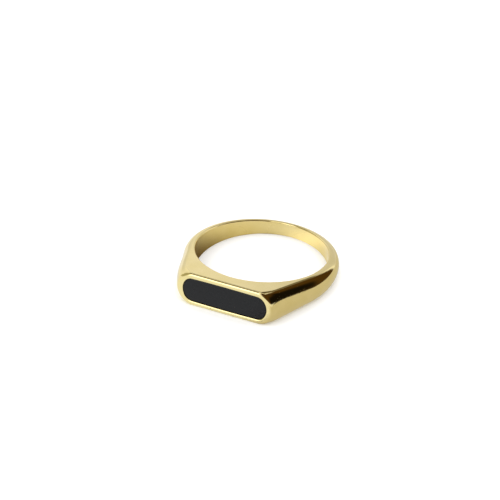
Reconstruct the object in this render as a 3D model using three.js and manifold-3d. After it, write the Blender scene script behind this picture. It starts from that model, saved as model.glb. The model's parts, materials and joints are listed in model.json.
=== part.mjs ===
// A man's signet ring with a long black onyx inlay, lying on its side.
//
// The ring is drawn in its own frame: the finger hole runs along Z, the table (the flat
// face with the inlay) looks along -Y, and X runs along the table. Its two side faces are
// flat and draw together from the head to the back of the shank, so the finished group is
// turned about X until the lower side face is level, and set down on it.
// Units are millimetres.

import * as THREE from "three";
import { mergeVertices } from "three/addons/utils/BufferGeometryUtils.js";
import Module from "manifold-3d";

const wasm = await Module();
wasm.setup();

// Driving dimensions: finger hole and shank.
const FINGER_RADIUS = 8.5;
const SHANK_RADIUS = 9.93; // outside of the shank at the middle of its width
const SHANK_SHIFT = -0.22; // centre of that arc: the shank is thinnest at the back
const HALF_WIDTH = 1.58; // half the shank's width beside the finger hole's axis
const SIDE_SLOPE = 0.07; // half width lost per millimetre from head to back
const CROWN = 1.15; // how far the rounded outside falls away at its edges

// Driving dimensions: head and table.
const TABLE_DISTANCE = 10.55; // from the finger hole's axis to the table
const TABLE_HALF_LENGTH = 6.55;
const TABLE_CROWN = 2.0; // crown at the table, which rounds the table's ends
const CROWN_REACH = 1.8; // the larger crown dies away over this distance behind the table
const SHOULDER_SWELL = 0.24; // how far the left shoulder swells out of its straight line
const FRONT_ALLOWANCE = 1.0; // stock in front of the table before it is filed flat

// Driving dimensions: onyx inlay, its recess and the cement under it.
const INLAY_HALF_LENGTH = 5.8;
const INLAY_HALF_HEIGHT = 1.58;
const INLAY_END = 1.28; // length of each rounded end
const INLAY_BOW = 0.05; // how far each long edge bows outwards
const INLAY_THICKNESS = 0.9;
const FACE_RECESS = 0.12; // the inlay's face lies this far below the table
const CEMENT_THICKNESS = 0.12;
const CEMENT_MARGIN = 0.15; // the cement stops short of the inlay's edge
const FIT_GAP = 0.04; // clearance between neighbouring pieces

// Fineness of the curved surfaces.
const OUTLINE_POINTS = 150;
const CROWN_STEPS = 12;
const HOLE_SEGMENTS = 96;
const CURVE_SEGMENTS = 16;

// Direction in which the shoulder line touches the shank's arc, from the arc's centre.
function shoulderAngle() {
  const dx = TABLE_HALF_LENGTH;
  const dy = -TABLE_DISTANCE - SHANK_SHIFT;
  return Math.atan2(dy, dx) + Math.acos(SHANK_RADIUS / Math.hypot(dx, dy));
}

const SHOULDER_ANGLE = shoulderAngle();

// Half the ring's width at a distance y along its length.
function halfWidthAt(y) {
  return HALF_WIDTH - SIDE_SLOPE * y;
}

// Depth of the crown at a distance y: larger close to the table.
function crownAt(y) {
  const closeness = Math.max(0, 1 - (y + TABLE_DISTANCE) / CROWN_REACH);
  return CROWN + (TABLE_CROWN - CROWN) * closeness ** 2;
}

// The outward direction of the ring's outline at a point on it.
function outwardAt(x, y) {
  const side = Math.sign(x) || 1;
  const angle = Math.atan2(y - SHANK_SHIFT, Math.abs(x));
  const held = Math.max(angle, SHOULDER_ANGLE);
  return new THREE.Vector2(side * Math.cos(held), Math.sin(held));
}

// Outline of the ring at the middle of its width, seen along the finger hole: the
// shank's arc and two shoulders that run on past the table. The right shoulder is
// straight, and the left one, filed by hand, swells out a little near the table.
function ringOutline() {
  const touch = new THREE.Vector2(
    SHANK_RADIUS * Math.cos(SHOULDER_ANGLE),
    SHANK_SHIFT + SHANK_RADIUS * Math.sin(SHOULDER_ANGLE),
  );
  const corner = new THREE.Vector2(TABLE_HALF_LENGTH, -TABLE_DISTANCE);
  const onward = corner.clone().sub(touch).setLength(FRONT_ALLOWANCE).add(corner);
  const path = new THREE.Path();
  path.moveTo(onward.x, onward.y);
  path.lineTo(touch.x, touch.y);
  path.absarc(0, SHANK_SHIFT, SHANK_RADIUS, SHOULDER_ANGLE, Math.PI - SHOULDER_ANGLE);
  const early = touch.clone().lerp(corner, 1 / 3);
  const outward = new THREE.Vector2(Math.cos(SHOULDER_ANGLE), Math.sin(SHOULDER_ANGLE));
  const late = touch.clone().lerp(corner, 2 / 3).addScaledVector(outward, (9 / 4) * SHOULDER_SWELL);
  path.bezierCurveTo(-early.x, early.y, -late.x, late.y, -corner.x, corner.y);
  path.lineTo(-onward.x, onward.y);
  return new THREE.Shape(path.getSpacedPoints(OUTLINE_POINTS));
}

// Outline of the inlay, grown by a margin: bowed long edges and rounded ends.
function inlayOutline(margin) {
  const straight = INLAY_HALF_LENGTH - INLAY_END;
  const height = INLAY_HALF_HEIGHT + margin;
  const end = INLAY_END + margin;
  const quarter = Math.PI / 2;
  const shape = new THREE.Shape();
  shape.moveTo(-straight, -height);
  shape.quadraticCurveTo(0, -height - 2 * INLAY_BOW, straight, -height);
  shape.absellipse(straight, 0, end, height, -quarter, quarter, false);
  shape.quadraticCurveTo(0, height + 2 * INLAY_BOW, -straight, height);
  shape.absellipse(-straight, 0, end, height, quarter, 3 * quarter, false);
  return shape;
}

// A three.js geometry as a manifold-3d solid.
function solidOf(geometry) {
  const bare = geometry.clone();
  bare.deleteAttribute("normal");
  bare.deleteAttribute("uv");
  const merged = mergeVertices(bare);
  return new wasm.Manifold(
    new wasm.Mesh({
      numProp: 3,
      vertProperties: merged.attributes.position.array,
      triVerts: new Uint32Array(merged.index.array),
    }),
  );
}

// A manifold-3d solid as a three.js geometry.
function geometryOf(solid) {
  const cut = solid.getMesh();
  const geometry = new THREE.BufferGeometry();
  geometry.setAttribute("position", new THREE.BufferAttribute(cut.vertProperties, 3));
  geometry.setIndex(new THREE.BufferAttribute(cut.triVerts, 1));
  geometry.computeVertexNormals();
  return geometry;
}

// The blank of the ring: its outline drawn up to unit height, then given the taper of
// the side faces and the elliptical crown of the outside.
function crownedBlank() {
  const geometry = new THREE.ExtrudeGeometry(ringOutline(), {
    depth: 2,
    steps: CROWN_STEPS,
    bevelEnabled: false,
  });
  const position = geometry.attributes.position;
  for (let i = 0; i < position.count; i += 1) {
    const point = new THREE.Vector2(position.getX(i), position.getY(i));
    const lean = (position.getZ(i) - 1) * (Math.PI / 2);
    const inset = crownAt(point.y) * (1 - Math.cos(lean));
    point.addScaledVector(outwardAt(point.x, point.y), -inset);
    position.setXYZ(i, point.x, point.y, Math.sin(lean) * halfWidthAt(point.y));
  }
  return solidOf(geometry);
}

// The finger hole, longer than the ring is wide.
function fingerHole() {
  const length = 4 * halfWidthAt(-TABLE_DISTANCE);
  const geometry = new THREE.CylinderGeometry(FINGER_RADIUS, FINGER_RADIUS, length, HOLE_SEGMENTS);
  geometry.rotateX(Math.PI / 2);
  return solidOf(geometry);
}

// Everything in front of the table.
function frontStock() {
  const size = 4 * TABLE_HALF_LENGTH;
  const geometry = new THREE.BoxGeometry(size, size, size);
  geometry.translate(0, -TABLE_DISTANCE - size / 2, 0);
  return solidOf(geometry);
}

// A slab with the inlay's outline, from one depth below the table to another.
function inlaySlab(margin, nearDepth, farDepth) {
  const geometry = new THREE.ExtrudeGeometry(inlayOutline(margin), {
    depth: farDepth - nearDepth,
    bevelEnabled: false,
    curveSegments: CURVE_SEGMENTS,
  });
  geometry.rotateX(-Math.PI / 2);
  geometry.translate(0, -TABLE_DISTANCE + nearDepth, 0);
  return geometry;
}

const INLAY_BACK = FACE_RECESS + INLAY_THICKNESS;
const CEMENT_FRONT = INLAY_BACK + FIT_GAP;
const CEMENT_BACK = CEMENT_FRONT + CEMENT_THICKNESS;
const SEAT_DEPTH = CEMENT_BACK + FIT_GAP;

// Shank, shoulders and head: one casting with the recess for the inlay cut into its table.
function ringBody() {
  const seat = solidOf(inlaySlab(FIT_GAP, -FRONT_ALLOWANCE, SEAT_DEPTH));
  const solid = crownedBlank().subtract(frontStock()).subtract(fingerHole()).subtract(seat);
  const gold = new THREE.MeshStandardMaterial({
    color: 0xd9bd6a,
    roughness: 0.16,
    metalness: 1.0,
  });
  const mesh = new THREE.Mesh(geometryOf(solid), gold);
  mesh.name = "ring_body";
  return mesh;
}

// The black stone tablet.
function onyxInlay() {
  const onyx = new THREE.MeshStandardMaterial({
    color: 0x161415,
    roughness: 0.22,
    metalness: 0.0,
  });
  const mesh = new THREE.Mesh(inlaySlab(0, FACE_RECESS, INLAY_BACK), onyx);
  mesh.name = "onyx_inlay";
  return mesh;
}

// The thin layer of cement that holds the tablet in the recess.
function cementBed() {
  const cement = new THREE.MeshStandardMaterial({
    color: 0x2b2622,
    roughness: 0.7,
    metalness: 0.0,
  });
  const mesh = new THREE.Mesh(inlaySlab(-CEMENT_MARGIN, CEMENT_FRONT, CEMENT_BACK), cement);
  mesh.name = "cement_bed";
  return mesh;
}

// The finished ring, set down on its lower side face, with the origin under the middle of its box.
function signetRing() {
  const ring = new THREE.Group();
  ring.add(ringBody(), onyxInlay(), cementBed());
  ring.rotation.x = -Math.atan(SIDE_SLOPE);
  const standing = new THREE.Group();
  standing.add(ring);
  const box = new THREE.Box3().setFromObject(standing, true);
  ring.position.y = -(box.min.y + box.max.y) / 2;
  ring.position.z = -box.min.z;
  return standing;
}

export default signetRing();
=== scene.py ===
import json
import math

import bmesh
import bpy
import numpy as np
from mathutils import Matrix, Vector

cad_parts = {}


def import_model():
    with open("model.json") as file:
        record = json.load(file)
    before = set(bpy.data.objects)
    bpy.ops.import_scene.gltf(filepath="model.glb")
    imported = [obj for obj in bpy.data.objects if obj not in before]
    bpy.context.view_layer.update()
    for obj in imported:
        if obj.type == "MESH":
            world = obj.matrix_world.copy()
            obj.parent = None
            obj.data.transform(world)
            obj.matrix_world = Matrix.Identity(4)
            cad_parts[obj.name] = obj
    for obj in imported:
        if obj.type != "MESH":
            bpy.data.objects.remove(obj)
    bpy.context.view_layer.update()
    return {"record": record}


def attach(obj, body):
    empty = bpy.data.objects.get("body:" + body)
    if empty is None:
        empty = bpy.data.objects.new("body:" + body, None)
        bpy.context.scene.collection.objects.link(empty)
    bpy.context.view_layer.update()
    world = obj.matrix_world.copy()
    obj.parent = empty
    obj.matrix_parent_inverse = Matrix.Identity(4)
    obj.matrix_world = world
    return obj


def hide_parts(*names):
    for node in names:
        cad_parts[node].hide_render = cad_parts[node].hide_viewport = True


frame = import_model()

# ---------------------------------------------------------------- sizes, in millimetres
# The ring's own frame: the finger hole runs along Z, the table looks along -Y, and X runs
# along the inlay. The mounts say where that frame lies in the CAD frame.
MM = 0.001
mounts = {m["name"]: m for m in frame["record"]["mounts"]}
hole_centre = Vector(mounts["finger_hole"]["pos_m"]) / MM
ring_z = Vector(mounts["finger_hole"]["axis"]).normalized()
ring_x = Vector((1.0, 0.0, 0.0))
ring_y = ring_z.cross(ring_x)
inlay_centre = Vector(mounts["inlay_face"]["pos_m"]) / MM
RING_TO_CAD = np.array([ring_x, ring_y, ring_z])
TINY = 1e-6                 # keeps divisors above zero and tells what is flat

FINGER_RADIUS = 8.5
SHANK_RADIUS = 9.93         # radius of the shank's outside
SHANK_SHIFT = -0.22         # where its centre lies along Y
SIDE_SLOPE = ring_z.y / ring_z.z        # how fast each side face draws in along Y
HALF_WIDTH = hole_centre.z / ring_z.z   # half the ring's width beside the hole's centre
CROWN = 1.15                # depth of the rounding between the side faces
TABLE_CROWN = 2.0           # its depth at the table
CROWN_REACH = 1.8           # how far behind the table it is back to the depth of the rest
TABLE_HALF_LENGTH = 6.55
SHOULDER_SWELL = 0.24       # how far the left shoulder swells out of its straight line

FACE_RECESS = 0.12          # how far the stone's face lies below the table
TABLE_DISTANCE = (hole_centre - inlay_centre).dot(ring_y) + FACE_RECESS
INLAY_HALF_LENGTH = 5.8
INLAY_HALF_HEIGHT = 1.58
INLAY_END = 1.28            # length of each of the stone's round ends
INLAY_BOW = 0.05            # how far the stone's long edges bow out
INLAY_DROP = 0.05           # how far the stone sits below the middle of the table
INLAY_THICKNESS = 0.9
CEMENT_THICKNESS = 0.12
CEMENT_INSET = 0.15         # how far the cement stays inside the stone's outline
CEMENT_EDGE = CEMENT_THICKNESS / 4      # size of the cement's softened edges
FIT_GAP = 0.04              # between the stone, the cement and the recess
SEAT_DEPTH = FACE_RECESS + INLAY_THICKNESS + CEMENT_THICKNESS + 2 * FIT_GAP

BORE_EDGE = 0.20            # radius of the finger hole's softened edges
TABLE_EDGE = 0.32           # radius of the table's softened edge
SEAT_EDGE = 0.11            # depth of the recess's softened edge
SEAT_EDGE_WIDTH = 0.22      # its width
SEAT_FILLET = 0.10          # radius at the foot of the recess's wall
INLAY_EDGE = 0.10           # radius of the stone's polished edge

# Each shoulder is a straight line from the table's end that touches the shank's arc.
SHOULDER_ANGLE = math.atan2(-TABLE_DISTANCE - SHANK_SHIFT, TABLE_HALF_LENGTH) + math.acos(
    SHANK_RADIUS / math.hypot(TABLE_HALF_LENGTH, TABLE_DISTANCE + SHANK_SHIFT)
)
SHOULDER_LENGTH = math.sqrt(
    TABLE_HALF_LENGTH**2 + (TABLE_DISTANCE + SHANK_SHIFT) ** 2 - SHANK_RADIUS**2
)
SWELL_PEAK = 4 / 27         # the greatest value of s * (1 - s)**2


def to_cad(points):
    """Points of the ring's frame, in millimetres, as metres in the CAD frame."""
    return (np.asarray(points) @ RING_TO_CAD + np.array(hole_centre)) * MM


# ---------------------------------------------------------------- the metal's surface
def half_width(y):
    """Half the ring's width at a place along Y."""
    return HALF_WIDTH - SIDE_SLOPE * y


def crown_at(y):
    """Depth of the elliptical crown at a place along Y."""
    closeness = np.maximum(0.0, 1.0 - (y + TABLE_DISTANCE) / CROWN_REACH)
    return CROWN + (TABLE_CROWN - CROWN) * closeness**2


def outline_depth(x, y):
    """How far a point lies inside the ring's outline, seen along the finger hole."""
    angle = np.maximum(np.arctan2(y - SHANK_SHIFT, np.abs(x)), SHOULDER_ANGLE)
    reach = np.abs(x) * np.cos(angle) + (y - SHANK_SHIFT) * np.sin(angle)
    along = (TABLE_HALF_LENGTH - np.abs(x)) * math.sin(SHOULDER_ANGLE)
    along += (y + TABLE_DISTANCE) * math.cos(SHOULDER_ANGLE)
    share = np.clip(along / SHOULDER_LENGTH, 0.0, 1.0)
    swell = np.where(x < 0, SHOULDER_SWELL * share * (1.0 - share) ** 2 / SWELL_PEAK, 0.0)
    return SHANK_RADIUS - reach + swell


def outside_crown(x, y, z):
    """Distance outside the side faces and the elliptical crown between them."""
    crown = crown_at(y)
    width = half_width(y)
    inward = np.maximum(0.0, 1.0 - outline_depth(x, y) / crown)
    height = z / width
    reach = np.maximum(np.hypot(inward, height), TINY)
    steepness = np.hypot(inward / crown, height / width) / reach
    return (reach - 1.0) / np.maximum(steepness, TINY)


def rounded_meet(a, b, radius):
    """Distance outside what both surfaces enclose, with a round edge where they meet."""
    return np.minimum(np.maximum(a, b), -radius) + np.hypot(
        np.maximum(a + radius, 0.0), np.maximum(b + radius, 0.0)
    )


def outside_metal(points):
    """Distance outside the ring's metal, with the recess still filled."""
    x, y, z = points[..., 0], points[..., 1], points[..., 2]
    bore = FINGER_RADIUS - np.hypot(x, y)
    table = -y - TABLE_DISTANCE
    sides = rounded_meet(outside_crown(x, y, z), bore, BORE_EDGE)
    return rounded_meet(sides, table, TABLE_EDGE)


def metal_normals(points, step=1e-4):
    """Outward directions of the metal's surface."""
    slopes = [
        outside_metal(points + step * axis) - outside_metal(points - step * axis)
        for axis in np.eye(3)
    ]
    normals = np.stack(slopes, axis=-1)
    return normals / np.linalg.norm(normals, axis=-1, keepdims=True)


def surface_reach(origins, directions, furthest=12.0, halvings=44):
    """How far each ray runs inside the metal before it comes out."""
    near = np.zeros(directions.shape[:-1])
    far = np.full_like(near, furthest)
    for _ in range(halvings):
        middle = (near + far) / 2
        outside = outside_metal(origins + directions * middle[..., None]) > 0
        far = np.where(outside, middle, far)
        near = np.where(outside, near, middle)
    return (near + far) / 2


# ---------------------------------------------------------------- the metal's grid
STATIONS = 470              # cross-sections round the ring
SECTION_POINTS = 196        # points round each cross-section
TRIAL_ANGLES = 20001        # angles tried round the ring to space the stations
TRIAL_POINTS = 720          # rays tried in each cross-section to space its points
BEND_WEIGHT = 1.1           # millimetres of length that a radian of bend counts for
CORNER_CROWDING = 4.0       # density of stations added at the table's ends, to one elsewhere
CORNER_SPREAD = math.radians(7.0)
HEAD_CROWDING = 0.6         # density added all over the head
HEAD_SPREAD = math.radians(45.0)
INNER_STEP = 0.3            # from the finger hole to a place surely inside the metal


def station_angles():
    """Angles round the finger hole, closer together where the table's ends turn the corner."""
    angle = np.linspace(-math.pi, math.pi, TRIAL_ANGLES)
    corner = math.atan2(-TABLE_DISTANCE, TABLE_HALF_LENGTH)
    density = np.ones_like(angle)
    for middle in (corner, -math.pi - corner):
        density += CORNER_CROWDING * np.exp(-(((angle - middle) / CORNER_SPREAD) ** 2))
    head = np.exp(-(((angle + math.pi / 2) / HEAD_SPREAD) ** 4))
    density += HEAD_CROWDING * head
    total = np.concatenate([[0.0], np.cumsum((density[1:] + density[:-1]) / 2)])
    wanted = np.linspace(0.0, total[-1], STATIONS + 1)[:-1]
    return np.interp(wanted, total, angle)


def section_rays(angles, leans):
    """Start points in the middle of the metal and directions in each cross-section's plane."""
    radial = np.stack([np.cos(angles), np.sin(angles), np.zeros_like(angles)], axis=-1)
    inner = radial * (FINGER_RADIUS + INNER_STEP)
    outer = surface_reach(inner, radial)
    middle = radial * (FINGER_RADIUS + INNER_STEP + outer / 2 - INNER_STEP / 2)[:, None]
    up = np.array([0.0, 0.0, 1.0])
    directions = (
        -np.cos(leans)[..., None] * radial[:, None, :] + np.sin(leans)[..., None] * up
    )
    return middle[:, None, :], directions


def even_leans(angles):
    """Ray directions that spread each section's points by length and by bend."""
    trial = np.linspace(0.0, 2 * math.pi, TRIAL_POINTS + 1)
    leans = np.tile(trial, (len(angles), 1))
    origins, directions = section_rays(angles, leans)
    points = origins + directions * surface_reach(origins, directions)[..., None]
    normals = metal_normals(points)
    length = np.linalg.norm(np.diff(points, axis=1), axis=-1)
    bend = np.linalg.norm(np.diff(normals, axis=1), axis=-1)
    cost = length + BEND_WEIGHT * bend
    total = np.concatenate([np.zeros((len(angles), 1)), np.cumsum(cost, axis=1)], axis=1)
    share = np.linspace(0.0, 1.0, SECTION_POINTS + 1)[:-1]
    return np.stack([np.interp(share * t[-1], t, trial) for t in total])


def metal_grid():
    """Points of the metal's surface, one row for each cross-section round the ring."""
    angles = station_angles()
    origins, directions = section_rays(angles, even_leans(angles))
    return origins + directions * surface_reach(origins, directions)[..., None]


# ---------------------------------------------------------------- the inlay's outline
OUTLINE_POINTS = 320
EDGE_STEPS = 6              # faces across each softened edge


def inlay_outline(margin):
    """Points round the inlay's outline, grown by a margin, as (x, z)."""
    end = INLAY_END + margin
    height = INLAY_HALF_HEIGHT + margin
    straight = INLAY_HALF_LENGTH - INLAY_END
    turn = np.linspace(-math.pi / 2, math.pi / 2, OUTLINE_POINTS)
    along = np.linspace(-straight, straight, OUTLINE_POINTS)
    bow = INLAY_BOW * (1.0 - (along / straight) ** 2)
    right = np.stack([straight + end * np.cos(turn), height * np.sin(turn)], axis=1)
    low = np.stack([along, -height - bow], axis=1)
    loop = np.concatenate([low, right, -low, -right])
    closed = np.concatenate([loop, loop[:1]])
    length = np.linalg.norm(np.diff(closed, axis=0), axis=1)
    total = np.concatenate([[0.0], np.cumsum(length)])
    wanted = np.linspace(0.0, total[-1], OUTLINE_POINTS + 1)[:-1]
    return np.stack([np.interp(wanted, total, closed[:, k]) for k in (0, 1)], axis=1)


def inlay_loop(margin, depth):
    """A loop of the inlay's outline at a depth behind the table."""
    outline = inlay_outline(margin)
    y = np.full(len(outline), -TABLE_DISTANCE + depth)
    return np.stack([outline[:, 0], y, outline[:, 1] - INLAY_DROP], axis=1)


def quarter():
    """Angles of a quarter turn, for the round of a softened edge."""
    return np.linspace(0.0, math.pi / 2, EDGE_STEPS + 1)


# ---------------------------------------------------------------- mesh helpers
def add_loop(mesh, points):
    """A new vertex at each point, in order."""
    return [mesh.verts.new(p) for p in points]


def bridge(mesh, first, second):
    """Quads between two loops with as many points."""
    for i in range(len(first)):
        j = (i + 1) % len(first)
        mesh.faces.new((first[i], first[j], second[j], second[i]))


def loop_edges(mesh, loop):
    """The edges of a loop, made where they are missing."""
    found = []
    for i, vert in enumerate(loop):
        pair = (vert, loop[(i + 1) % len(loop)])
        found.append(mesh.edges.get(pair) or mesh.edges.new(pair))
    return found


def finished_piece(name, mesh, material, node):
    """Turns a bmesh in the ring's frame into a piece that stands for a CAD node."""
    bmesh.ops.recalc_face_normals(mesh, faces=mesh.faces)
    data = bpy.data.meshes.new(name)
    mesh.to_mesh(data)
    mesh.free()
    count = len(data.vertices)
    points = np.zeros(count * 3)
    data.vertices.foreach_get("co", points)
    data.vertices.foreach_set("co", to_cad(points.reshape(-1, 3)).ravel())
    data.shade_smooth()
    data.update()
    piece = bpy.data.objects.new(name, data)
    bpy.context.scene.collection.objects.link(piece)
    data.materials.append(material)
    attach(piece, "root")
    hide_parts(node)
    return piece


# ---------------------------------------------------------------- pieces
def seat_profile():
    """(margin, depth) of each loop of the recess, from the table's face down to its floor."""
    lip = [
        (FIT_GAP + SEAT_EDGE_WIDTH * (1 - math.sin(t)), SEAT_EDGE * (1 - math.cos(t)))
        for t in quarter()
    ]
    foot = [
        (FIT_GAP - SEAT_FILLET * (1 - math.cos(t)), SEAT_DEPTH - SEAT_FILLET * (1 - math.sin(t)))
        for t in quarter()
    ]
    return lip + foot


def add_skin(mesh, grid):
    """Quads between the grid's points, all but those that lie flat on the table."""
    rows, columns, _ = grid.shape
    on_table = np.abs(grid[..., 1] + TABLE_DISTANCE) < TINY
    verts = {}
    for i in range(rows):
        k = (i + 1) % rows
        for j in range(columns):
            m = (j + 1) % columns
            corners = ((i, j), (i, m), (k, m), (k, j))
            if all(on_table[c] for c in corners):
                continue
            for c in corners:
                if c not in verts:
                    verts[c] = mesh.verts.new(grid[c])
            mesh.faces.new([verts[c] for c in corners])


def ring_body(material):
    """Shank, shoulders and head, with the recess cut into the flat table."""
    mesh = bmesh.new()
    add_skin(mesh, metal_grid())
    rim_edges = [e for e in mesh.edges if e.is_boundary]
    loops = [add_loop(mesh, inlay_loop(*step)) for step in seat_profile()]
    lip_edges = loop_edges(mesh, loops[0])
    bmesh.ops.triangle_fill(mesh, edges=rim_edges + lip_edges, use_beauty=True)
    for upper, lower in zip(loops, loops[1:]):
        bridge(mesh, upper, lower)
    bmesh.ops.triangle_fill(mesh, edges=loop_edges(mesh, loops[-1]), use_beauty=True)
    return finished_piece("gold_ring_body", mesh, material, "ring_body")


def tablet(profile):
    """A closed mesh of inlay outlines: (margin, depth) of each loop from front to back."""
    mesh = bmesh.new()
    loops = [add_loop(mesh, inlay_loop(*step)) for step in profile]
    for upper, lower in zip(loops, loops[1:]):
        bridge(mesh, upper, lower)
    for loop in (loops[0], loops[-1]):
        bmesh.ops.triangle_fill(mesh, edges=loop_edges(mesh, loop), use_beauty=True)
    return mesh


def onyx_inlay(material):
    """The long stone tablet, with polished edges round its face."""
    back = FACE_RECESS + INLAY_THICKNESS
    front_edge = [
        (-INLAY_EDGE * (1 - math.sin(t)), FACE_RECESS + INLAY_EDGE * (1 - math.cos(t)))
        for t in quarter()
    ]
    back_edge = [(0.0, back - INLAY_EDGE), (-INLAY_EDGE, back)]
    mesh = tablet(front_edge + back_edge)
    return finished_piece("black_onyx_inlay", mesh, material, "onyx_inlay")


def cement_bed(material):
    """The thin layer of cement behind the stone."""
    front = FACE_RECESS + INLAY_THICKNESS + FIT_GAP
    back = front + CEMENT_THICKNESS
    profile = [
        (-CEMENT_INSET - CEMENT_EDGE, front),
        (-CEMENT_INSET, front + CEMENT_EDGE),
        (-CEMENT_INSET, back - CEMENT_EDGE),
        (-CEMENT_INSET - CEMENT_EDGE, back),
    ]
    mesh = tablet(profile)
    return finished_piece("setting_cement_bed", mesh, material, "cement_bed")


# ---------------------------------------------------------------- materials
class Nodes:
    """A material's node tree, with short ways to add and link nodes."""

    def __init__(self, name):
        self.material = bpy.data.materials.new(name)
        self.material.use_nodes = True
        self.tree = self.material.node_tree
        self.shader = self.tree.nodes["Principled BSDF"]

    def add(self, kind, **inputs):
        """A new node, with an underscore for each space in an input's name."""
        node = self.tree.nodes.new(kind)
        for key, value in inputs.items():
            self.put(node.inputs[key.replace("_", " ")], value)
        return node

    def put(self, socket, value):
        """Links an output to the socket, or gives it a fixed value."""
        if isinstance(value, bpy.types.NodeSocket):
            self.tree.links.new(value, socket)
        else:
            socket.default_value = value

    def math(self, operation, first, second=0.0):
        """The result of an operation on one or two values."""
        node = self.tree.nodes.new("ShaderNodeMath")
        node.operation = operation
        self.put(node.inputs[0], first)
        self.put(node.inputs[1], second)
        return node.outputs[0]

    def noise(self, vector, scale, detail, roughness=0.5):
        """A noise between 0 and 1 over the vector."""
        node = self.add("ShaderNodeTexNoise", Vector=vector)
        node.inputs["Scale"].default_value = scale
        node.inputs["Detail"].default_value = detail
        node.inputs["Roughness"].default_value = roughness
        return node.outputs["Fac"]

    def remap(self, value, low, high, to_low=0.0, to_high=1.0, smooth=False):
        """A value between low and high, moved to between to_low and to_high."""
        node = self.tree.nodes.new("ShaderNodeMapRange")
        node.interpolation_type = "SMOOTHSTEP" if smooth else "LINEAR"
        self.put(node.inputs["Value"], value)
        limits = {"From Min": low, "From Max": high, "To Min": to_low, "To Max": to_high}
        for key, number in limits.items():
            self.put(node.inputs[key], number)
        return node.outputs["Result"]

    def mix(self, share, first, second):
        """A blend of two colours."""
        node = self.tree.nodes.new("ShaderNodeMix")
        node.data_type = "RGBA"
        self.put(node.inputs[0], share)
        self.put(node.inputs[6], first)
        self.put(node.inputs[7], second)
        return node.outputs[2]

    def bump(self, height, distance, under=None):
        """A surface direction tilted by a relief, over another one if under is given."""
        node = self.add("ShaderNodeBump", Height=height)
        node.inputs["Distance"].default_value = distance
        if under is not None:
            self.put(node.inputs["Normal"], under)
        return node.outputs["Normal"]

    def millimetres(self):
        """The surface point in millimetres from the finger hole's centre."""
        place = self.add("ShaderNodeTexCoord").outputs["Object"]
        node = self.tree.nodes.new("ShaderNodeMapping")
        self.put(node.inputs["Vector"], place)
        node.inputs["Scale"].default_value = (1 / MM, 1 / MM, 1 / MM)
        node.inputs["Location"].default_value = tuple(-c for c in hole_centre)
        return node.outputs["Vector"]

    def vector(self, x, y, z):
        """Three values as one vector."""
        node = self.tree.nodes.new("ShaderNodeCombineXYZ")
        for socket, value in zip(node.inputs, (x, y, z)):
            self.put(socket, value)
        return node.outputs[0]

    def round_the_finger(self, place, squeeze):
        """Coordinates stretched round the finger, so that a noise draws polishing lines."""
        split = self.add("ShaderNodeSeparateXYZ", Vector=place)
        x, y, z = split.outputs
        squares = [self.math("MULTIPLY", along, along) for along in (x, y)]
        reach = self.math("SQRT", self.math("ADD", *squares))
        arc = self.math("MULTIPLY", self.math("ARCTAN2", y, x), FINGER_RADIUS / squeeze)
        return self.vector(arc, z, reach)


GOLD_DEEP = (0.89, 0.74, 0.34, 1.0)
GOLD_PALE = (0.93, 0.78, 0.39, 1.0)
ONYX_BLACK = (0.002, 0.002, 0.002, 1.0)
ONYX_GREY = (0.006, 0.0055, 0.006, 1.0)
CEMENT_DARK = (0.012, 0.009, 0.006, 1.0)
CEMENT_PALE = (0.05, 0.042, 0.032, 1.0)

# Roughness, where NOISE_SPREAD and the bands say which values of a noise count.
NOISE_SPREAD = (0.3, 0.7)
GOLD_ROUGH = (0.055, 0.105)
GOLD_SCRATCH_BAND = (0.655, 0.70)
GOLD_SCRATCH_ROUGH = 0.06
HANDLING_BAND = (0.42, 0.68)
HANDLING_ROUGH = 0.035
ONYX_ROUGH = (0.24, 0.33)
ONYX_SCRATCH_BAND = (0.60, 0.66)
ONYX_SCRATCH_ROUGH = 0.08
ONYX_SCRATCH_TURN = math.radians(8.0)
ONYX_SCRATCH_SQUEEZE = (0.25, 1.0, 5.0)
ONYX_SPECULAR = 0.27
CEMENT_ROUGH = (0.7, 0.92)

# Heights of the fine relief, in metres.
GOLD_WAVE = 0.016 * MM
GOLD_HAIRLINE = 0.0006 * MM
GOLD_SCRATCH = 0.0012 * MM
ONYX_POLISH = 0.0008 * MM
ONYX_SCRATCH = 0.001 * MM
CEMENT_GRAIN = 0.01 * MM


def polished_gold():
    """Polished yellow gold with a hand-made evenness, hairlines and a little wear."""
    n = Nodes("polished_gold")
    place = n.millimetres()
    lines = n.round_the_finger(place, squeeze=14.0)
    tone = n.remap(n.noise(place, scale=0.55, detail=4.0), *NOISE_SPREAD)
    n.put(n.shader.inputs["Base Color"], n.mix(tone, GOLD_DEEP, GOLD_PALE))
    n.put(n.shader.inputs["Metallic"], 1.0)

    hairlines = n.noise(lines, scale=9.0, detail=6.0, roughness=0.65)
    marks = n.noise(lines, scale=4.0, detail=2.0, roughness=0.4)
    scratches = n.remap(marks, *GOLD_SCRATCH_BAND, smooth=True)
    handling = n.remap(n.noise(place, scale=1.4, detail=5.0, roughness=0.6), *HANDLING_BAND)
    even = n.remap(hairlines, *NOISE_SPREAD, *GOLD_ROUGH)
    worn = n.math("ADD", even, n.math("MULTIPLY", handling, HANDLING_ROUGH))
    rough = n.math("ADD", worn, n.math("MULTIPLY", scratches, GOLD_SCRATCH_ROUGH))
    n.put(n.shader.inputs["Roughness"], rough)

    waviness = n.bump(n.noise(place, scale=0.42, detail=2.0, roughness=0.4), GOLD_WAVE)
    fine = n.bump(hairlines, GOLD_HAIRLINE, under=waviness)
    n.put(n.shader.inputs["Normal"], n.bump(scratches, GOLD_SCRATCH, under=fine))
    return n.material


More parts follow.
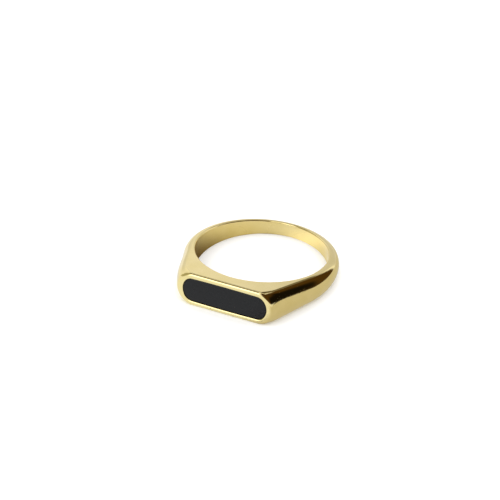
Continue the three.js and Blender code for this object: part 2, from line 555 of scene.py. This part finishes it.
def black_onyx():
    """Black onyx with a satin polish, faint grain and a few fine scratches."""
    n = Nodes("black_onyx")
    place = n.millimetres()
    grain = n.noise(place, scale=3.0, detail=6.0, roughness=0.6)
    n.put(n.shader.inputs["Base Color"], n.mix(grain, ONYX_BLACK, ONYX_GREY))
    n.put(n.shader.inputs["Specular IOR Level"], ONYX_SPECULAR)

    stretch = n.tree.nodes.new("ShaderNodeMapping")
    n.put(stretch.inputs["Vector"], place)
    stretch.inputs["Rotation"].default_value = (0.0, ONYX_SCRATCH_TURN, 0.0)
    stretch.inputs["Scale"].default_value = ONYX_SCRATCH_SQUEEZE
    marks = n.noise(stretch.outputs["Vector"], scale=2.2, detail=3.0, roughness=0.5)
    lines = n.remap(marks, *ONYX_SCRATCH_BAND, smooth=True)
    clouds = n.remap(n.noise(place, scale=0.9, detail=4.0), *NOISE_SPREAD, *ONYX_ROUGH)
    rough = n.math("ADD", clouds, n.math("MULTIPLY", lines, ONYX_SCRATCH_ROUGH))
    n.put(n.shader.inputs["Roughness"], rough)

    polish = n.bump(n.noise(place, scale=14.0, detail=4.0, roughness=0.6), ONYX_POLISH)
    n.put(n.shader.inputs["Normal"], n.bump(lines, ONYX_SCRATCH, under=polish))
    return n.material


def setting_cement():
    """Dark grainy setting cement."""
    n = Nodes("setting_cement")
    place = n.millimetres()
    grain = n.noise(place, scale=9.0, detail=5.0, roughness=0.7)
    n.put(n.shader.inputs["Base Color"], n.mix(grain, CEMENT_DARK, CEMENT_PALE))
    n.put(n.shader.inputs["Roughness"], n.remap(grain, *NOISE_SPREAD, *CEMENT_ROUGH))
    n.put(n.shader.inputs["Normal"], n.bump(grain, CEMENT_GRAIN))
    return n.material


# ---------------------------------------------------------------- stage
WORLD_STRENGTH = 1.6
MIRRORED_STRENGTH = 0.95            # of the world, seen in reflections
FLOOR_HALF_SIZE = 1.5               # in metres
FLOOR_TONE = (0.93, 0.93, 0.93, 1.0)
MIRRORED_FLOOR_TONE = (0.60, 0.60, 0.60, 1.0)
STAGE_CENTRE = (0.0, 0.0, 3.0)      # in millimetres
SHEET_ROWS, SCREEN_COLUMNS, SHADE_COLUMNS = 9, 25, 33
LOWEST_SHEET = 0.03                 # how low a screen may reach, in millimetres
TONE_SPLIT = (0.35, 0.65)           # where a sheet's first colour ends and its second begins
HEART_EDGES = (0.55, 1.25)          # the same from a heart's middle, in half axes


def flat_object(name, points, faces, material):
    """A stage object made of flat faces."""
    data = bpy.data.meshes.new(name)
    data.from_pydata(points, [], faces)
    data.materials.append(material)
    item = bpy.data.objects.new(name, data)
    bpy.context.scene.collection.objects.link(item)
    return item


def edge_mask(n, place, feather, density):
    """How dense a sheet is, with soft margins at both ends of both directions."""
    mask = density
    for axis, margins in zip(place, feather):
        for margin, from_end in zip(margins, (False, True)):
            if margin:
                edge = n.math("SUBTRACT", 1.0, axis) if from_end else axis
                mask = n.math("MULTIPLY", mask, n.remap(edge, 0.0, margin, smooth=True))
    return mask


def heart_share(n, place, heart):
    """The share of the second colour round an oval heart of the first."""
    middle, half_axes = heart
    steps = [
        n.math("DIVIDE", n.math("SUBTRACT", place[k], middle[k]), half_axes[k]) for k in (0, 1)
    ]
    squares = [n.math("MULTIPLY", step, step) for step in steps]
    return n.remap(n.math("SQRT", n.math("ADD", *squares)), *HEART_EDGES, smooth=True)


def glow_material(name, colours, feather, density, tone_split, heart):
    """Light of two colours that fades out toward a sheet's edges."""
    n = Nodes(name)
    n.tree.nodes.remove(n.shader)
    place = n.add("ShaderNodeSeparateXYZ", Vector=n.add("ShaderNodeTexCoord").outputs["UV"]).outputs
    mask = edge_mask(n, place, feather, density)
    if heart:
        share = heart_share(n, place, heart)
    else:
        share = n.remap(place[0], *tone_split, smooth=True)
    first, second = ((*colour, 1.0) for colour in colours)
    glow = n.tree.nodes.new("ShaderNodeEmission")
    n.put(glow.inputs["Color"], n.mix(share, first, second))
    clear = n.tree.nodes.new("ShaderNodeBsdfTransparent")
    blend = n.tree.nodes.new("ShaderNodeMixShader")
    n.put(blend.inputs[0], mask)
    n.tree.links.new(clear.outputs[0], blend.inputs[1])
    n.tree.links.new(glow.outputs[0], blend.inputs[2])
    n.tree.links.new(blend.outputs[0], n.tree.nodes["Material Output"].inputs["Surface"])
    return n.material


def glow_sheet(name, grid, colours, feather, density, tone_split, heart=None):
    """A glowing sheet over a grid of points, seen only in reflections.

    Its two colours lie side by side along the rows, or the second lies round an oval heart,
    (middle, half axes), of the first. feather says how wide its margins are: at both ends of
    the rows, then at the first and the last row. All of these are shares of the sheet."""
    rows, columns = len(grid), len(grid[0])
    points = [p for row in grid for p in row]
    faces = [
        (i * columns + j, i * columns + j + 1, (i + 1) * columns + j + 1, (i + 1) * columns + j)
        for i in range(rows - 1)
        for j in range(columns - 1)
    ]
    material = glow_material(name, colours, feather, density, tone_split, heart)
    item = flat_object(name, points, faces, material)
    layer = item.data.uv_layers.new(name="sheet")
    for loop in item.data.loops:
        i, j = divmod(loop.vertex_index, columns)
        layer.data[loop.index].uv = (j / (columns - 1), i / (rows - 1))
    item.visible_camera = False
    item.visible_diffuse = False
    item.visible_shadow = False
    item.visible_transmission = False


def screen(name, azimuths, lows, highs, distance, colours, feather, centre=STAGE_CENTRE,
           density=1.0, tone_split=TONE_SPLIT, heart=None):
    """An upright curved sheet round a centre, between two azimuths.

    Its lower and upper elevations are given at its first and at its last azimuth."""
    grid = []
    for rise in np.linspace(0.0, 1.0, SHEET_ROWS):
        row = []
        for share in np.linspace(0.0, 1.0, SCREEN_COLUMNS):
            turn = math.radians(azimuths[0] + share * (azimuths[1] - azimuths[0]))
            low = lows[0] + share * (lows[1] - lows[0])
            high = highs[0] + share * (highs[1] - highs[0])
            x = centre[0] + distance * math.sin(turn)
            y = centre[1] - distance * math.cos(turn)
            z = centre[2] + distance * math.tan(math.radians(low + rise * (high - low)))
            row.append((x * MM, y * MM, max(z, LOWEST_SHEET) * MM))
        grid.append(row)
    glow_sheet(name, grid, colours, feather, density, tone_split, heart)


def floor_sheet(name, angles, radii, colours, feather, density, height=0.02,
                tone_split=TONE_SPLIT):
    """A sheet that lies over the floor, an arc round the finger hole."""
    grid = []
    for r in np.linspace(*radii, SHEET_ROWS):
        row = []
        for a in np.linspace(*angles, SHADE_COLUMNS):
            turn = math.radians(a)
            x = hole_centre.x + r * math.cos(turn)
            y = hole_centre.y + r * math.sin(turn)
            row.append((x * MM, y * MM, height * MM))
        grid.append(row)
    glow_sheet(name, grid, colours, feather, density, tone_split)


def floor():
    """A white matt floor, greyer where it is seen in reflections."""
    n = Nodes("floor")
    mirrored = n.add("ShaderNodeLightPath").outputs["Is Glossy Ray"]
    n.put(n.shader.inputs["Base Color"], n.mix(mirrored, FLOOR_TONE, MIRRORED_FLOOR_TONE))
    n.put(n.shader.inputs["Roughness"], 1.0)
    n.put(n.shader.inputs["Specular IOR Level"], 0.0)
    s = FLOOR_HALF_SIZE
    corners = [(-s, -s, 0), (s, -s, 0), (s, s, 0), (-s, s, 0)]
    flat_object("floor", corners, [(0, 1, 2, 3)], n.material)


def world():
    """Even white light all round, a little weaker where it is seen in reflections."""
    studio_world = bpy.data.worlds.new("studio")
    bpy.context.scene.world = studio_world
    studio_world.use_nodes = True
    tree = studio_world.node_tree
    path = tree.nodes.new("ShaderNodeLightPath")
    level = tree.nodes.new("ShaderNodeMapRange")
    tree.links.new(path.outputs["Is Glossy Ray"], level.inputs["Value"])
    level.inputs["To Min"].default_value = WORLD_STRENGTH
    level.inputs["To Max"].default_value = MIRRORED_STRENGTH
    tree.nodes["Background"].inputs["Color"].default_value = (1, 1, 1, 1)
    tree.links.new(level.outputs["Result"], tree.nodes["Background"].inputs["Strength"])


def dark_screens():
    """Two dark screens close round the right shoulder."""
    shoulder = (8.0, -5.0, 3.0)
    black = (0.008, 0.006, 0.003)
    brown = (0.072, 0.036, 0.007)
    screen(
        "dark_screen_front", azimuths=(-16, 93), lows=(6, -3), highs=(84, 80), distance=17.5,
        colours=(black, brown), feather=((0.11, 0.05), (0.04, 0.06)), centre=shoulder,
        heart=((0.99, 0.20), (0.42, 0.38)),
    )
    screen(
        "dark_screen_right", azimuths=(84, 162), lows=(-12, -5), highs=(86, 56), distance=18.0,
        colours=(black, brown), feather=((0.03, 0.06), (0.03, 0.08)), centre=shoulder,
        heart=((0.103, 0.33), (0.42, 0.40)),
    )


def far_screens():
    """Grey and olive screens, dark gaps between them, and a bright light at the front left."""
    grey = (0.66, 0.65, 0.66)
    screen(
        "grey_screen_back", azimuths=(150, 218), lows=(-12, -12), highs=(40, 40), distance=45.0,
        colours=(grey, grey), feather=((0.1, 0.5), (0.15, 0.1)), density=0.95,
    )
    screen(
        "grey_screen_left", azimuths=(-176, -90), lows=(-25, -25), highs=(32, 32), distance=120.0,
        colours=((0.86, 0.85, 0.86), (0.74, 0.74, 0.76)), feather=((0.3, 0.35), (0.2, 0.35)),
        density=0.95, tone_split=(0.25, 0.5),
    )
    near_black = (0.06, 0.05, 0.03)
    screen(
        "dark_gap_back", azimuths=(140, 226), lows=(28, 28), highs=(76, 76), distance=120.0,
        colours=((0.20, 0.17, 0.12), near_black), feather=((0.1, 0.15), (0.16, 0.12)),
    )
    screen(
        "dark_gap_left", azimuths=(-115, -20), lows=(46, 46), highs=(74, 74), distance=110.0,
        colours=(near_black, (0.2, 0.17, 0.10)), feather=((0.05, 0.1), (0.2, 0.1)),
    )
    olive = (0.42, 0.40, 0.26)
    screen(
        "olive_screen_left", azimuths=(-92, -34), lows=(-14, -14), highs=(50, 50), distance=105.0,
        colours=(olive, olive), feather=((0.15, 0.12), (0.15, 0.1)), density=0.95,
    )
    light = (2.1, 2.1, 2.2)
    screen(
        "bright_light_left", azimuths=(-40, -6), lows=(-24, -24), highs=(52, 52), distance=112.0,
        colours=(light, light), feather=((0.25, 0.2), (0.12, 0.15)),
    )


def floor_sheets():
    """Sheets over the floor that the gold mirrors, inside the finger hole and outside: painted
    shadows, a painted warm bounce light and painted pools of light.
    """
    brown = (0.10, 0.06, 0.02)
    floor_sheet(
        "shade_inside_left", angles=(128, 262), radii=(2.8, 8.6), colours=(brown, brown),
        feather=((0.45, 0.25), (0.9, 0.0)), density=0.97, height=0.05,
    )
    # Painted warm bounce light: the floor inside the finger hole, as the gold mirrors it, is tinted
    # as if lit by light thrown back from the gold.
    bounce_light_tint = (0.66, 0.56, 0.24)
    floor_sheet(
        "painted_bounce_light_inside_left", angles=(90, 264), radii=(0.3, 8.7), colours=(bounce_light_tint, bounce_light_tint),
        feather=((0.25, 0.1), (0.15, 0.0)), density=0.5, height=0.035,
    )
    floor_sheet(
        "light_inside_right", angles=(-40, 112), radii=(1.0, 8.6),
        colours=((0.86, 0.81, 0.66), (1.42, 1.34, 1.12)),
        feather=((0.3, 0.3), (0.2, 0.0)), density=0.9, tone_split=(0.6, 0.85),
    )
    tan = (0.60, 0.56, 0.44)
    floor_sheet(
        "shade_outside_right", angles=(-74, 100), radii=(8.9, 36.0), colours=(tan, tan),
        feather=((0.14, 0.2), (0.0, 0.3)), density=0.85, height=0.03,
    )
    light = (0.95, 0.99, 1.03)
    floor_sheet(
        "light_outside_front", angles=(-155, -66), radii=(9.0, 40.0), colours=(light, light),
        feather=((0.2, 0.2), (0.1, 0.3)), density=0.9,
    )


def studio():
    """A white room whose screens and floor sheets draw the bands on the gold."""
    world()
    floor()
    dark_screens()
    far_screens()
    floor_sheets()


# ---------------------------------------------------------------- camera
VIEW_AZIMUTH, VIEW_ELEVATION, VIEW_ROLL = 26.92, 34.28, -0.58
VIEW_DISTANCE = 400.0
FOCAL_SHARE = 6.296         # focal length over the sensor's width
AIM = (-1.48, 1.38)         # where the view's centre lies from the hole's centre, right and up
NEAREST, FURTHEST = 0.01, 10.0      # what the camera sees, in metres


def camera():
    """A long lens that looks down on the ring from the front right."""
    view = (VIEW_AZIMUTH, VIEW_ELEVATION, VIEW_ROLL)
    azimuth, elevation, roll = (math.radians(degrees) for degrees in view)
    back = Vector((
        math.sin(azimuth) * math.cos(elevation),
        -math.cos(azimuth) * math.cos(elevation),
        math.sin(elevation),
    ))
    level = Vector((math.cos(azimuth), math.sin(azimuth), 0.0))
    upright = back.cross(level)
    right = math.cos(roll) * level + math.sin(roll) * upright
    up = back.cross(right)
    place = hole_centre + back * VIEW_DISTANCE + right * AIM[0] + up * AIM[1]
    data = bpy.data.cameras.new("camera")
    data.lens = FOCAL_SHARE * data.sensor_width
    data.clip_start = NEAREST
    data.clip_end = FURTHEST
    item = bpy.data.objects.new("camera", data)
    bpy.context.scene.collection.objects.link(item)
    item.matrix_world = Matrix((
        (right.x, up.x, back.x, place.x * MM),
        (right.y, up.y, back.y, place.y * MM),
        (right.z, up.z, back.z, place.z * MM),
        (0, 0, 0, 1),
    ))
    bpy.context.scene.camera = item


# ---------------------------------------------------------------- the scene
bpy.context.scene.view_settings.view_transform = "Standard"
camera()
studio()
ring_body(polished_gold())
onyx_inlay(black_onyx())
cement_bed(setting_cement())
